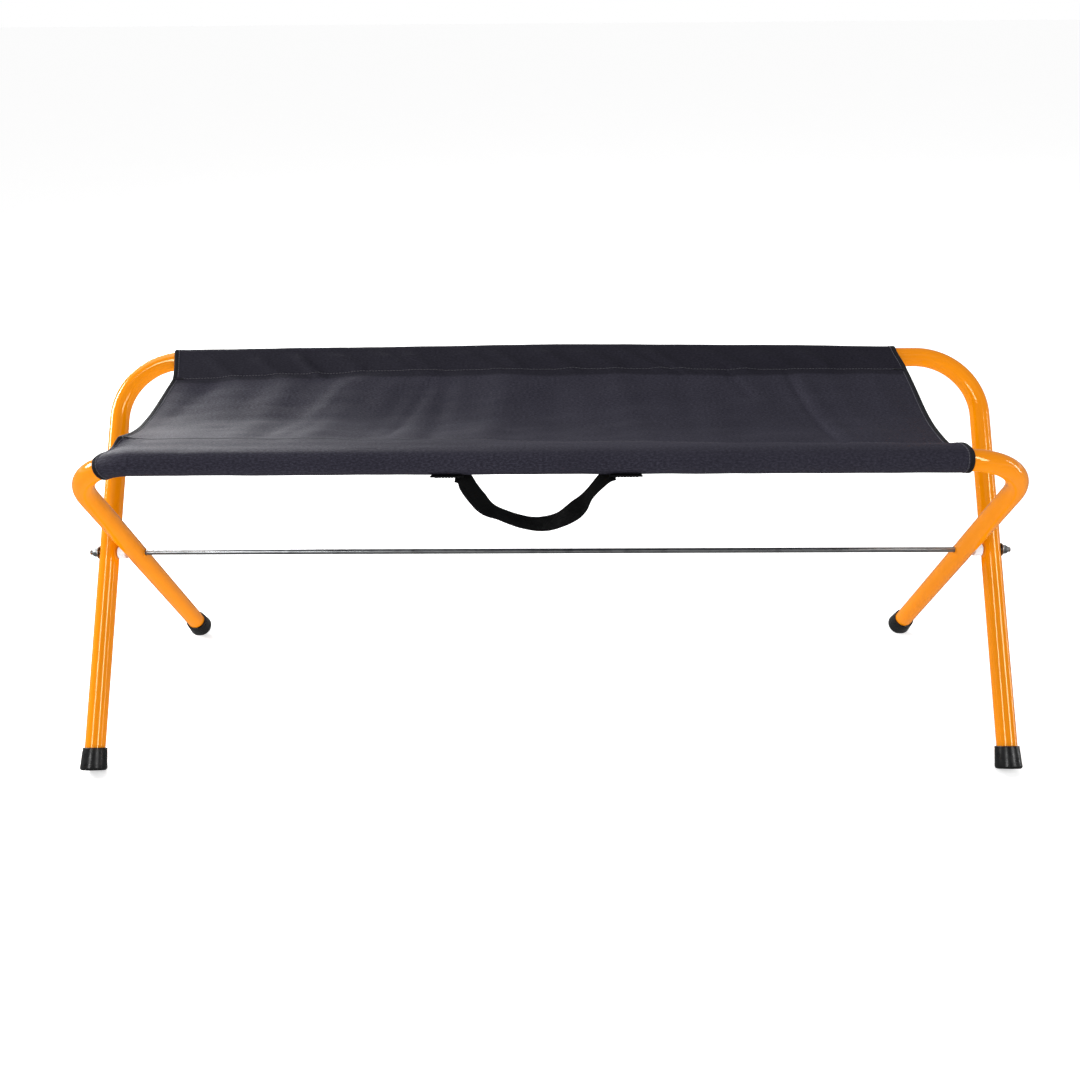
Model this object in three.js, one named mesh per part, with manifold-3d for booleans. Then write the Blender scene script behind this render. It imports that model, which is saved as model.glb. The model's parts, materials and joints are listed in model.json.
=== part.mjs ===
// A folding camp bench: two U-shaped steel tube frames crossed on one long pivot rod,
// with a fabric seat sleeved over the two top rails and a webbing carry handle.
// Millimetres, +Z up. +X runs along the seat and +Y points to the back.
// The origin is on the floor, under the pivot rod's middle.

import * as THREE from 'three';
import { mergeVertices } from 'three/addons/utils/BufferGeometryUtils.js';
import Module from 'manifold-3d';

const wasm = await Module();
wasm.setup();

// ---- Driving dimensions ----
const GAP = 0.3; // clearance between neighbouring pieces
const TUBE_R = 11;
const TUBE_WALL = 1.1;
const BEND_R = 72.5; // centreline radius of the corner bends
const LEG_TILT = THREE.MathUtils.degToRad(37.75); // from vertical
const LEG_BELOW = 249; // pivot to the end of the foot cap, along the leg
const OUTER_ABOVE = 235.5; // pivot to rail, wide frame
const INNER_ABOVE = 211.5; // pivot to rail, narrow frame, which nests below the other rail
const OUTER_HALF = 513.5; // frame middle to leg centreline
const INNER_HALF = 482;

const CAP_LENGTH = 25;
const CAP_FLOOR = 4; // end wall thickness
const CAP_TOP_R = 13.1;
const CAP_END_R = 14.4;
const CAP_FILLET = 3;
const CAP_FLAT = 1.4; // depth of the flat that the floor makes on the rim

const ROD_R = 3;
const ROD_HALF = 536;
const SPACER_R = 7.5;
const WASHER_R = 7.5;
const WASHER_T = 1.2;
const NUT_FLATS = 10;
const NUT_T = 6;

const SEAT_LEFT = -448;
const SEAT_RIGHT = 418;
const FABRIC_T = 1;
const SLEEVE_R = TUBE_R + GAP + FABRIC_T;
const PANEL_T = 2;
const SEAT_SAG = 12;
const SEAT_SPLIT = 149; // rear rail to the crease that the seat folds along

const STRAP_W = 25;
const STRAP_T = 2.4;
const STRAP_LEFT = -86; // where the loop leaves its sewn ends
const STRAP_RIGHT = 62;
const STRAP_DROP = 51;
const STRAP_END = 32; // length of each sewn end

const SIDES = 24; // facets round a tube
const BEND_STEPS = 9;

// ---- Derived places ----
const CAP_RIM_DROP = (CAP_END_R - CAP_FILLET) * Math.sin(LEG_TILT) + CAP_FILLET * (1 - Math.cos(LEG_TILT));
const CAP_END_Z = CAP_RIM_DROP - CAP_FLAT;
const PIVOT_Z = CAP_END_Z + LEG_BELOW * Math.cos(LEG_TILT);
const TUBE_END = LEG_BELOW - CAP_FLOOR - GAP;
const REAR_RAIL = railPlace(OUTER_ABOVE, 1);
const FRONT_RAIL = railPlace(INNER_ABOVE, -1);

function railPlace(above, side) {
  const y = side * above * Math.sin(LEG_TILT);
  return new THREE.Vector2(y, PIVOT_Z + above * Math.cos(LEG_TILT));
}

// ---- Materials ----
const ORANGE = new THREE.MeshStandardMaterial({ color: 0xf39200, roughness: 0.25, metalness: 0.1 });
const RUBBER = new THREE.MeshStandardMaterial({ color: 0x17191b, roughness: 0.55 });
const STEEL = new THREE.MeshStandardMaterial({ color: 0x8c9092, roughness: 0.35, metalness: 1 });
const NYLON = new THREE.MeshStandardMaterial({ color: 0xeceef2, roughness: 0.45 });
const FABRIC = new THREE.MeshStandardMaterial({ color: 0x3b3a43, roughness: 0.85 });
const WEBBING = new THREE.MeshStandardMaterial({ color: 0x0d0d0e, roughness: 0.9 });

// ---- Helpers ----
// A path of pieces that each take a set number of steps, so long straights stay one step.
class SteppedPath extends THREE.Curve {
  constructor(pieces) {
    super();
    this.pieces = pieces;
    this.steps = pieces.reduce((sum, piece) => sum + piece.steps, 0);
  }

  getUtoTmapping(u) {
    return u;
  }

  getPoint(t) {
    let step = t * this.steps;
    for (const piece of this.pieces) {
      if (step <= piece.steps || piece === this.pieces.at(-1)) {
        return piece.at(step / piece.steps);
      }
      step -= piece.steps;
    }
  }
}

function straight(from, to) {
  return { steps: 1, at: (f) => from.clone().lerp(to, f) };
}

// An arc in the XZ plane, from one angle to another about a centre.
function bend(centreX, centreZ, startAngle, endAngle, steps) {
  const at = (f) => {
    const angle = startAngle + (endAngle - startAngle) * f;
    const x = centreX + BEND_R * Math.cos(angle);
    return new THREE.Vector3(x, 0, centreZ + BEND_R * Math.sin(angle));
  };
  return { steps, at };
}

// One U-frame's centreline in its own plane: x across, z up the leg, the pivot at z = 0.
function framePath(half, above) {
  const inside = half - BEND_R;
  const bendZ = above - BEND_R;
  const point = (x, z) => new THREE.Vector3(x, 0, z);
  return new SteppedPath([
    straight(point(-half, -TUBE_END), point(-half, bendZ)),
    bend(-inside, bendZ, Math.PI, Math.PI / 2, BEND_STEPS),
    straight(point(-inside, above), point(inside, above)),
    bend(inside, bendZ, Math.PI / 2, 0, BEND_STEPS),
    straight(point(half, bendZ), point(half, -TUBE_END)),
  ]);
}

// The stretch of a top rail that the seat covers, running on into the bends where it must.
function sleevePath(half, above) {
  const inside = half - BEND_R;
  const bendZ = above - BEND_R;
  const pieces = [];
  const left = Math.max(SEAT_LEFT, -inside);
  const right = Math.min(SEAT_RIGHT, inside);
  if (SEAT_LEFT < left) {
    const turn = Math.asin((left - SEAT_LEFT) / BEND_R);
    pieces.push(bend(-inside, bendZ, Math.PI / 2 + turn, Math.PI / 2, 4));
  }
  pieces.push(straight(new THREE.Vector3(left, 0, above), new THREE.Vector3(right, 0, above)));
  if (SEAT_RIGHT > right) {
    const turn = Math.asin((SEAT_RIGHT - right) / BEND_R);
    pieces.push(bend(inside, bendZ, Math.PI / 2, Math.PI / 2 - turn, 2));
  }
  return new SteppedPath(pieces);
}

function circleShape(radius, sides, holeRadius = 0) {
  const ring = (r) => Array.from({ length: sides }, (_, i) => {
    const angle = (2 * Math.PI * i) / sides;
    return new THREE.Vector2(r * Math.cos(angle), r * Math.sin(angle));
  });
  const shape = new THREE.Shape(ring(radius));
  if (holeRadius > 0) {
    shape.holes.push(new THREE.Path(ring(holeRadius)));
  }
  return shape;
}

function sweep(shape, path) {
  return new THREE.ExtrudeGeometry(shape, { steps: path.steps, extrudePath: path });
}

// A shape drawn in (y, z), or any turned disc, extruded from one x to another.
function extrudeAlongX(shape, fromX, toX) {
  const geometry = new THREE.ExtrudeGeometry(shape, { depth: toX - fromX, bevelEnabled: false });
  const turn = new THREE.Matrix4().makeBasis(
    new THREE.Vector3(0, 1, 0),
    new THREE.Vector3(0, 0, 1),
    new THREE.Vector3(1, 0, 0),
  );
  return geometry.applyMatrix4(turn.setPosition(fromX, 0, 0));
}

function toSolid(geometry) {
  const bare = geometry.clone();
  bare.deleteAttribute('normal');
  bare.deleteAttribute('uv');
  const merged = mergeVertices(bare, 1e-4);
  const vertProperties = new Float32Array(merged.attributes.position.array);
  const triVerts = new Uint32Array(merged.index.array);
  return new wasm.Manifold(new wasm.Mesh({ numProp: 3, vertProperties, triVerts }));
}

function toGeometry(solid) {
  const mesh = solid.getMesh();
  const geometry = new THREE.BufferGeometry();
  geometry.setAttribute('position', new THREE.BufferAttribute(mesh.vertProperties, 3));
  geometry.setIndex(new THREE.BufferAttribute(mesh.triVerts, 1));
  geometry.computeVertexNormals();
  return geometry;
}

function named(name, geometry, material) {
  const mesh = new THREE.Mesh(geometry, material);
  mesh.name = name;
  return mesh;
}

// ---- Frames ----
function frameTube(half, above) {
  const tube = toSolid(sweep(circleShape(TUBE_R, SIDES, TUBE_R - TUBE_WALL), framePath(half, above)));
  const drill = toSolid(extrudeAlongX(circleShape(ROD_R + GAP, 16), -half - 2 * TUBE_R, half + 2 * TUBE_R));
  return toGeometry(tube.subtract(drill));
}

// A cup over the tube's end, lowered along the leg so that its rim meets the floor.
function footCap(x, side) {
  const arc = Array.from({ length: 5 }, (_, i) => {
    const angle = (-Math.PI / 2) * (i / 4);
    const r = CAP_END_R - CAP_FILLET + CAP_FILLET * Math.cos(angle);
    return new THREE.Vector2(r, CAP_FILLET + CAP_FILLET * Math.sin(angle));
  });
  const bore = TUBE_R + GAP;
  const outline = [
    ...arc.reverse(),
    new THREE.Vector2(CAP_TOP_R, CAP_LENGTH),
    new THREE.Vector2(bore, CAP_LENGTH),
    new THREE.Vector2(bore, CAP_FLOOR),
    new THREE.Vector2(0, CAP_FLOOR),
  ];
  const profile = [new THREE.Vector2(0, 0), ...outline];
  const cup = new THREE.LatheGeometry(profile, SIDES);
  cup.rotateX(Math.PI / 2);
  cup.translate(x, 0, -LEG_BELOW);
  const ground = new THREE.BoxGeometry(4 * CAP_END_R, 8 * CAP_END_R, 2 * CAP_END_R);
  ground.translate(x, 0, -PIVOT_Z - CAP_END_R);
  ground.translate(0, -side * LEG_BELOW * Math.sin(LEG_TILT), 0);
  ground.rotateX(side * LEG_TILT);
  return toGeometry(toSolid(cup).subtract(toSolid(ground)));
}

function sleeve(half, above) {
  return sweep(circleShape(SLEEVE_R, SIDES, TUBE_R + GAP), sleevePath(half, above));
}

// side is +1 for the frame that leans back to the rear rail, -1 for the other.
function tiltedFrame(side, pieces) {
  const frame = new THREE.Group();
  frame.position.z = PIVOT_Z;
  frame.rotation.x = -side * LEG_TILT;
  frame.add(...pieces);
  return frame;
}

function outerFrame() {
  return tiltedFrame(1, [
    named('outer_frame_tube', frameTube(OUTER_HALF, OUTER_ABOVE), ORANGE),
    named('foot_cap_front_left', footCap(-OUTER_HALF, 1), RUBBER),
    named('foot_cap_front_right', footCap(OUTER_HALF, 1), RUBBER),
    named('seat_sleeve_rear', sleeve(OUTER_HALF, OUTER_ABOVE), FABRIC),
  ]);
}

function innerFrame() {
  return tiltedFrame(-1, [
    named('inner_frame_tube', frameTube(INNER_HALF, INNER_ABOVE), ORANGE),
    named('foot_cap_rear_left', footCap(-INNER_HALF, -1), RUBBER),
    named('foot_cap_rear_right', footCap(INNER_HALF, -1), RUBBER),
    named('seat_sleeve_front', sleeve(INNER_HALF, INNER_ABOVE), FABRIC),
  ]);
}

// ---- Pivot ----
function hexShape(acrossFlats, holeRadius) {
  const corner = acrossFlats / Math.sqrt(3);
  const shape = circleShape(corner, 6);
  shape.holes.push(circleShape(holeRadius, 16));
  return shape;
}

function pivotSide(side, word) {
  const bore = ROD_R + GAP;
  const innerFace = INNER_HALF + TUBE_R + GAP;
  const outerFace = OUTER_HALF - TUBE_R - GAP;
  const washerFace = OUTER_HALF + TUBE_R + GAP;
  const nutFace = washerFace + WASHER_T + GAP;
  const between = (shape, near, far) => (side > 0
    ? extrudeAlongX(shape, near, far)
    : extrudeAlongX(shape, -far, -near));
  const spacer = between(circleShape(SPACER_R, SIDES, bore), innerFace, outerFace);
  const washer = between(circleShape(WASHER_R, SIDES, bore), washerFace, washerFace + WASHER_T);
  const nut = between(hexShape(NUT_FLATS, bore), nutFace, nutFace + NUT_T);
  return [
    named(`spacer_${word}`, spacer, NYLON),
    named(`washer_${word}`, washer, STEEL),
    named(`lock_nut_${word}`, nut, STEEL),
  ];
}

function pivot() {
  const group = new THREE.Group();
  group.position.z = PIVOT_Z;
  const rod = extrudeAlongX(circleShape(ROD_R, 16), -ROD_HALF, ROD_HALF);
  group.add(named('pivot_rod', rod, STEEL), ...pivotSide(-1, 'left'), ...pivotSide(1, 'right'));
  return group;
}

// ---- Seat ----
// Height of the slack seat at a fraction of the way from the rear rail to the front one.
function seatPoint(fraction) {
  const point = REAR_RAIL.clone().lerp(FRONT_RAIL, fraction);
  point.y -= 4 * SEAT_SAG * fraction * (1 - fraction);
  return point;
}

function panelShape(from, to) {
  const steps = 8;
  const line = Array.from({ length: steps + 1 }, (_, i) => seatPoint(from + ((to - from) * i) / steps));
  const top = line.map((p) => new THREE.Vector2(p.x, p.y + PANEL_T / 2));
  const bottom = line.map((p) => new THREE.Vector2(p.x, p.y - PANEL_T / 2));
  return new THREE.Shape([...bottom, ...top.reverse()]);
}

// The sleeve's path with room round it, which the panel is cut back from at the bends.
function railRoom(half, above, side) {
  const room = sweep(circleShape(SLEEVE_R + GAP, SIDES), framePath(half, above));
  room.rotateX(-side * LEG_TILT);
  room.translate(0, 0, PIVOT_Z);
  return toSolid(room);
}

function seatPanels() {
  const reach = REAR_RAIL.distanceTo(FRONT_RAIL);
  const start = (SLEEVE_R + GAP) / reach;
  const crease = SEAT_SPLIT / reach;
  const half = GAP / 2 / reach;
  const rear = toSolid(extrudeAlongX(panelShape(start, crease - half), SEAT_LEFT, SEAT_RIGHT));
  const front = toSolid(extrudeAlongX(panelShape(crease + half, 1 - start), SEAT_LEFT, SEAT_RIGHT));
  const clearRear = rear.subtract(railRoom(OUTER_HALF, OUTER_ABOVE, 1));
  const clearFront = front.subtract(railRoom(INNER_HALF, INNER_ABOVE, -1));
  return [
    named('seat_panel_rear', toGeometry(clearRear), FABRIC),
    named('seat_panel_front', toGeometry(clearFront), FABRIC),
  ];
}

// ---- Carry handle ----
const STRAP_TOP = FRONT_RAIL.y - SLEEVE_R - GAP;

function strapLoop() {
  const top = STRAP_TOP - 1.5 * STRAP_T - GAP;
  const width = STRAP_RIGHT - STRAP_LEFT;
  const at = (f, drop) => new THREE.Vector3(STRAP_LEFT + f * width, FRONT_RAIL.x, top - drop);
  const path = new THREE.CatmullRomCurve3([
    at(0, 0),
    at(0.16, 0.64 * STRAP_DROP),
    at(0.38, 0.94 * STRAP_DROP),
    at(0.54, STRAP_DROP),
    at(0.79, 0.64 * STRAP_DROP),
    at(1, 0),
  ]);
  path.steps = 24;
  const section = new THREE.Shape([
    new THREE.Vector2(-STRAP_W / 2, -STRAP_T / 2),
    new THREE.Vector2(STRAP_W / 2, -STRAP_T / 2),
    new THREE.Vector2(STRAP_W / 2, STRAP_T / 2),
    new THREE.Vector2(-STRAP_W / 2, STRAP_T / 2),
  ]);
  return named('carry_handle', sweep(section, path), WEBBING);
}

function strapEnd(name, x) {
  const mesh = named(name, new THREE.BoxGeometry(STRAP_END, STRAP_W, STRAP_T), WEBBING);
  mesh.position.set(x, FRONT_RAIL.x, STRAP_TOP - STRAP_T / 2);
  return mesh;
}

const bench = new THREE.Group();
bench.add(outerFrame(), innerFrame(), pivot(), ...seatPanels(), strapLoop());
bench.add(strapEnd('strap_end_left', STRAP_LEFT - STRAP_END / 2 + STRAP_T));
bench.add(strapEnd('strap_end_right', STRAP_RIGHT + STRAP_END / 2 - STRAP_T));

export default bench;
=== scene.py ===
"""A folding camp bench: orange tube frames, a charcoal cloth seat and a webbing carry handle."""
import json
import math
import random

import bmesh
import bpy
import numpy as np
from mathutils import Matrix, Vector, noise

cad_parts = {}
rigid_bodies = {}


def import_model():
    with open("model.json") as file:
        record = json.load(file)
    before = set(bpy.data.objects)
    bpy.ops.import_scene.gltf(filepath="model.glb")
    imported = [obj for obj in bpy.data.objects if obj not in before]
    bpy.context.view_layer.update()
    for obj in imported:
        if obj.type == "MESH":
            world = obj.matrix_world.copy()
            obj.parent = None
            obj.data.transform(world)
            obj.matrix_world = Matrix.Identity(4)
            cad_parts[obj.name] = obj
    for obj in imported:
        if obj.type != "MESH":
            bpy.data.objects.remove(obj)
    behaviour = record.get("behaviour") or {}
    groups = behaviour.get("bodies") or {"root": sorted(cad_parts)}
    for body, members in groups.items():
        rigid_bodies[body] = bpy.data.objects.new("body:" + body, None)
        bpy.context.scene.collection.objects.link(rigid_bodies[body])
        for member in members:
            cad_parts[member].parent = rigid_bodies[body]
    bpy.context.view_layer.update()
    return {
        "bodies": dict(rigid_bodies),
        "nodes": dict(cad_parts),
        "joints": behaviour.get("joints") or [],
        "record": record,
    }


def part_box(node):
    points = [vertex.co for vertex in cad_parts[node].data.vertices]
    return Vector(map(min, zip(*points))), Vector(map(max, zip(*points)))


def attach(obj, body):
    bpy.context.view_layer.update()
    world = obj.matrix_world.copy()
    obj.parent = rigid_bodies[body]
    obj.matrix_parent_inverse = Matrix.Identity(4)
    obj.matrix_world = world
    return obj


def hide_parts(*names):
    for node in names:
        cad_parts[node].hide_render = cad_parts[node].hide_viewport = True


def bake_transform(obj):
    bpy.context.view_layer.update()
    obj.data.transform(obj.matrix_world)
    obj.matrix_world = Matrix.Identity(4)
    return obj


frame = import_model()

MM = 0.001
X_AXIS = Vector((1, 0, 0))
Y_AXIS = Vector((0, 1, 0))
Z_AXIS = Vector((0, 0, 1))
random.seed(7)

# ---- Places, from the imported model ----
JOINT_AT = {joint["name"]: Vector(joint["pos_m"]) for joint in frame["joints"]}
PIVOT = JOINT_AT["fold"]
REAR_RAIL = JOINT_AT["seat_rear_fold"]
FRONT_RAIL = JOINT_AT["seat_front_fold"]
TUBE_R = 11 * MM
TUBE_WALL = 1.1 * MM
BEND_R = 72.5 * MM
OUTER_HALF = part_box("outer_frame_tube")[1].x - TUBE_R
INNER_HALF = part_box("inner_frame_tube")[1].x - TUBE_R
LEG_TILT = math.atan2(REAR_RAIL.y, REAR_RAIL.z - PIVOT.z)
CAP_TOP_R = 13.1 * MM
CAP_END_R = 14.4 * MM
CAP_LENGTH = 25 * MM
CAP_FLOOR = 4 * MM
LEG_BELOW = 249 * MM  # pivot to the end of the foot cap, along the leg
DIMPLE = 0.9 * MM  # how deep a leg's wall is pressed in beside the rod's hole
ROD_R = 3 * MM
ROD_BORE = 3.2 * MM
SEAT_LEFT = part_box("seat_panel_rear")[0].x
SEAT_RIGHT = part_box("seat_panel_rear")[1].x
CREASE = Vector((0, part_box("seat_panel_rear")[0].y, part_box("seat_panel_rear")[0].z + MM))


# ---- Camera, lights and floor ----
def add_camera():
    data = bpy.data.cameras.new("camera")
    data.lens = 34.589
    data.sensor_width = 36
    camera = bpy.data.objects.new("camera", data)
    bpy.context.scene.collection.objects.link(camera)
    down, roll, yaw = 0.474439, -0.007658, 0.009096
    turn = (Matrix.Rotation(yaw, 4, "Z") @ Matrix.Rotation(math.pi / 2 - down, 4, "X")
            @ Matrix.Rotation(roll, 4, "Z"))
    camera.matrix_world = Matrix.Translation((-0.00036, -1.07064, 0.76734)) @ turn
    bpy.context.scene.camera = camera


def add_softbox(name, place, aim, size, power):
    data = bpy.data.lights.new(name, "AREA")
    data.shape = "RECTANGLE"
    data.size, data.size_y = size
    data.energy = power
    light = bpy.data.objects.new(name, data)
    bpy.context.scene.collection.objects.link(light)
    light.location = place
    light.rotation_euler = (Vector(aim) - Vector(place)).to_track_quat("-Z", "Y").to_euler()
    light.visible_camera = False


def add_lights():
    middle = (0, 0, 0.3)
    add_sun("soft_sun", (-0.35, 0.25, 0.90), 0.9, 50)
    add_softbox("back_left_key", (-1.8, 2.5, 1.15), (-0.3, 0, 0.38), (1.6, 0.8), 70)
    add_softbox("left_rake", (-2.2, 0.3, 1.15), (-0.2, 0, 0.36), (0.5, 0.9), 40)
    add_softbox("rail_bar", (0, -0.4, 2.6), middle, (2.2, 0.08), 9)
    add_softbox("front_left", (-1.3, -2.2, 1.7), middle, (0.40, 1.5), 22)
    add_softbox("front_right", (1.8, -1.7, 1.7), middle, (0.40, 1.5), 22)
    add_softbox("right_strip", (2.6, 0.0, 0.5), middle, (0.12, 1.4), 6)


def add_sun(name, source, strength, spread_degrees):
    data = bpy.data.lights.new(name, "SUN")
    data.energy = strength
    data.angle = math.radians(spread_degrees)
    sun = bpy.data.objects.new(name, data)
    bpy.context.scene.collection.objects.link(sun)
    sun.rotation_euler = Vector(source).to_track_quat("Z", "Y").to_euler()


def add_world():
    """A white studio to look at, and dimmer all round but at the horizon, so that highlights stand out."""
    scene = bpy.context.scene
    world = bpy.data.worlds.new("studio")
    scene.world = world
    world.use_nodes = True
    tree = world.node_tree
    background = tree.nodes["Background"]
    background.inputs["Color"].default_value = (1, 1, 1, 1)
    place = tree.nodes.new("ShaderNodeTexCoord")
    parts = tree.nodes.new("ShaderNodeSeparateXYZ")
    from_level = tree.nodes.new("ShaderNodeMath")
    from_level.operation = "ABSOLUTE"
    fade = tree.nodes.new("ShaderNodeMapRange")
    for socket, value in (("From Min", 0.01), ("From Max", 0.06), ("To Min", 0.9), ("To Max", 0.24)):
        fade.inputs[socket].default_value = value
    ray = tree.nodes.new("ShaderNodeLightPath")
    seen = tree.nodes.new("ShaderNodeMath")
    seen.operation = "MAXIMUM"
    tree.links.new(place.outputs["Generated"], parts.inputs[0])
    tree.links.new(parts.outputs["Z"], from_level.inputs[0])
    tree.links.new(from_level.outputs[0], fade.inputs["Value"])
    tree.links.new(fade.outputs["Result"], seen.inputs[0])
    tree.links.new(ray.outputs["Is Camera Ray"], seen.inputs[1])
    tree.links.new(seen.outputs[0], background.inputs["Strength"])
    scene.view_settings.view_transform = "Standard"


def add_floor():
    """A pale floor that glows like a light table, and isn't mirrored in the paint."""
    shader = Shader("studio_floor", {"Roughness": 0.9, "Specular IOR Level": 0.0,
                                     "Emission Color": (1, 1, 1, 1), "Emission Strength": 0.50})
    grain = shader.noise(3, 2, shader.object_place())
    shader.colour(shader.mix(grain, (0.93, 0.93, 0.93, 1), (0.95, 0.95, 0.95, 1)))
    reach = 60
    corners = [(-reach, -reach, 0), (reach, -reach, 0), (reach, reach, 0), (-reach, reach, 0)]
    floor = mesh_object("studio_floor", corners, [(0, 1, 2, 3)])
    floor.data.materials.append(shader.material)
    floor.visible_glossy = False


# ---- Materials ----
class Shader:
    """One node material: a Principled surface, and short ways to add nodes that feed it."""

    def __init__(self, name, values):
        self.material = bpy.data.materials.new(name)
        self.material.use_nodes = True
        self.tree = self.material.node_tree
        self.surface = self.tree.nodes["Principled BSDF"]
        for socket, value in values.items():
            self.surface.inputs[socket].default_value = value

    def feed(self, socket, value):
        if isinstance(value, bpy.types.NodeSocket):
            self.tree.links.new(value, socket)
        else:
            socket.default_value = value

    def node(self, kind, inputs, **settings):
        node = self.tree.nodes.new(kind)
        for name, value in settings.items():
            setattr(node, name, value)
        for name, value in inputs.items():
            self.feed(node.inputs[name], value)
        return node

    def object_place(self, stretch=(1, 1, 1)):
        place = self.node("ShaderNodeTexCoord", {}).outputs["Object"]
        return self.node("ShaderNodeMapping", {"Vector": place, "Scale": stretch}).outputs[0]

    def cloth_place(self, stretch=(1, 1, 1)):
        place = self.node("ShaderNodeUVMap", {}, uv_map="cloth").outputs["UV"]
        return self.node("ShaderNodeMapping", {"Vector": place, "Scale": stretch}).outputs[0]

    def noise(self, scale, detail, place, rough=0.5):
        inputs = {"Vector": place, "Scale": scale, "Detail": detail, "Roughness": rough}
        return self.node("ShaderNodeTexNoise", inputs).outputs["Fac"]

    def math(self, operation, *values):
        node = self.node("ShaderNodeMath", {}, operation=operation)
        for socket, value in zip(node.inputs, values):
            self.feed(socket, value)
        return node.outputs[0]

    def spread(self, value, low, high, to_low=0.0, to_high=1.0):
        inputs = {"Value": value, "From Min": low, "From Max": high, "To Min": to_low, "To Max": to_high}
        return self.node("ShaderNodeMapRange", inputs).outputs["Result"]

    def mix(self, share, first, second):
        node = self.node("ShaderNodeMix", {}, data_type="RGBA")
        self.feed(node.inputs["Factor"], share)
        self.feed(node.inputs[6], first)
        self.feed(node.inputs[7], second)
        return node.outputs[2]

    def colour(self, value):
        self.feed(self.surface.inputs["Base Color"], value)

    def roughness(self, value):
        self.feed(self.surface.inputs["Roughness"], value)

    def bump(self, height, distance, strength=1.0):
        inputs = {"Height": height, "Distance": distance, "Strength": strength}
        if self.surface.inputs["Normal"].links:
            inputs["Normal"] = self.surface.inputs["Normal"].links[0].from_socket
        self.feed(self.surface.inputs["Normal"], self.node("ShaderNodeBump", inputs).outputs[0])


def orange_coat():
    shader = Shader("orange_powder_coat", {"Specular IOR Level": 0.8,
                                           "Specular Tint": (1.0, 0.84, 0.55, 1)})
    cloudy = shader.noise(38, 3, shader.object_place())
    specks = shader.spread(shader.noise(900, 2, shader.object_place()), 0.62, 0.74)
    body = shader.mix(cloudy, (0.78, 0.230, 0.0, 1), (0.82, 0.254, 0.0, 1))
    shader.colour(shader.mix(shader.math("MULTIPLY", specks, 0.25), body, (0.62, 0.15, 0.0, 1)))
    shader.roughness(shader.spread(cloudy, 0.3, 0.7, 0.09, 0.14))
    shader.bump(shader.noise(420, 2, shader.object_place()), 0.000006, 0.5)
    return shader.material


def black_rubber():
    shader = Shader("black_rubber", {"Specular IOR Level": 0.4})
    dusty = shader.noise(160, 4, shader.object_place())
    scuffs = shader.spread(shader.noise(45, 5, shader.object_place((1, 1, 3)), 0.7), 0.55, 0.75)
    worn = shader.mix(dusty, (0.0015, 0.0017, 0.002, 1), (0.004, 0.0045, 0.005, 1))
    shader.colour(shader.mix(shader.math("MULTIPLY", scuffs, 0.5), worn, (0.010, 0.0105, 0.0115, 1)))
    shader.roughness(shader.spread(dusty, 0.3, 0.7, 0.24, 0.38))
    shader.bump(shader.noise(1500, 2, shader.object_place()), 0.00004, 0.5)
    return shader.material


def zinc_steel():
    shader = Shader("zinc_steel", {"Metallic": 1.0})
    streaks = shader.noise(60, 4, shader.object_place((0.3, 12, 12)))
    stain = shader.spread(shader.noise(90, 4, shader.object_place()), 0.5, 0.75)
    bright = shader.mix(streaks, (0.22, 0.228, 0.232, 1), (0.50, 0.51, 0.52, 1))
    shader.colour(shader.mix(shader.math("MULTIPLY", stain, 0.6), bright, (0.13, 0.135, 0.14, 1)))
    shader.roughness(shader.spread(streaks, 0.3, 0.7, 0.22, 0.38))
    shader.bump(streaks, 0.00002, 0.4)
    return shader.material


def white_nylon():
    shader = Shader("white_nylon", {"Specular IOR Level": 0.4})
    cloudy = shader.noise(220, 3, shader.object_place())
    shader.colour(shader.mix(cloudy, (0.78, 0.79, 0.82, 1), (0.88, 0.89, 0.92, 1)))
    shader.roughness(shader.spread(cloudy, 0.3, 0.7, 0.3, 0.45))
    shader.bump(shader.noise(2500, 2, shader.object_place()), 0.00002, 0.4)
    return shader.material


def woven(shader, pitch):
    """Height of a plain weave with threads a pitch apart, from 0 to 1."""
    place = shader.cloth_place()
    parts = shader.node("ShaderNodeSeparateXYZ", {"Vector": place})
    waves = [shader.math("SINE", shader.math("MULTIPLY", parts.outputs[i], math.pi / pitch))
             for i in (0, 1)]
    return shader.spread(shader.math("MULTIPLY", *waves), -1, 1)


def charcoal_fabric():
    """Oxford cloth: a fine plain weave with thicker yarns, with painted shade darkening the rear sleeve."""
    shader = Shader("charcoal_fabric", {"Specular IOR Level": 0.10, "Specular Tint": (0.80, 0.77, 1.0, 1),
                                        "Sheen Weight": 0.02, "Sheen Roughness": 0.3,
                                        "Sheen Tint": (0.82, 0.78, 1.0, 1)})
    weave = woven(shader, 0.75 * MM)
    slubs = shader.noise(700, 3, shader.cloth_place((0.45, 1, 1)), 0.7)
    patches = shader.noise(14, 4, shader.cloth_place((0.5, 1, 1)))
    threads = shader.mix(weave, (0.0065, 0.0061, 0.0095, 1), (0.025, 0.0237, 0.0345, 1))
    speckled = shader.mix(shader.spread(slubs, 0.42, 0.72), threads, (0.041, 0.039, 0.055, 1))
    faded = shader.spread(patches, 0.35, 0.7, 0.0, 0.3)
    cloth = shader.mix(faded, speckled, (0.011, 0.0104, 0.016, 1))
    down = shader.node("ShaderNodeSeparateXYZ", {"Vector": shader.cloth_place()}).outputs["Y"]
    before_seam, past_seam = 97 * MM, 101 * MM
    # Painted shade: the cloth's colour darkens past the rear seam, so the rear sleeve reads dimmer than the
    # seat.
    painted_shade_on_rear_sleeve = shader.spread(down, before_seam, past_seam, 0.0, 0.55)
    shader.colour(shader.mix(painted_shade_on_rear_sleeve, cloth, (0.003, 0.0028, 0.0046, 1)))
    shader.roughness(shader.spread(slubs, 0.3, 0.7, 0.70, 0.54))
    shader.bump(weave, 0.00012, 0.7)
    shader.bump(slubs, 0.00010, 0.6)
    return shader.material


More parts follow.
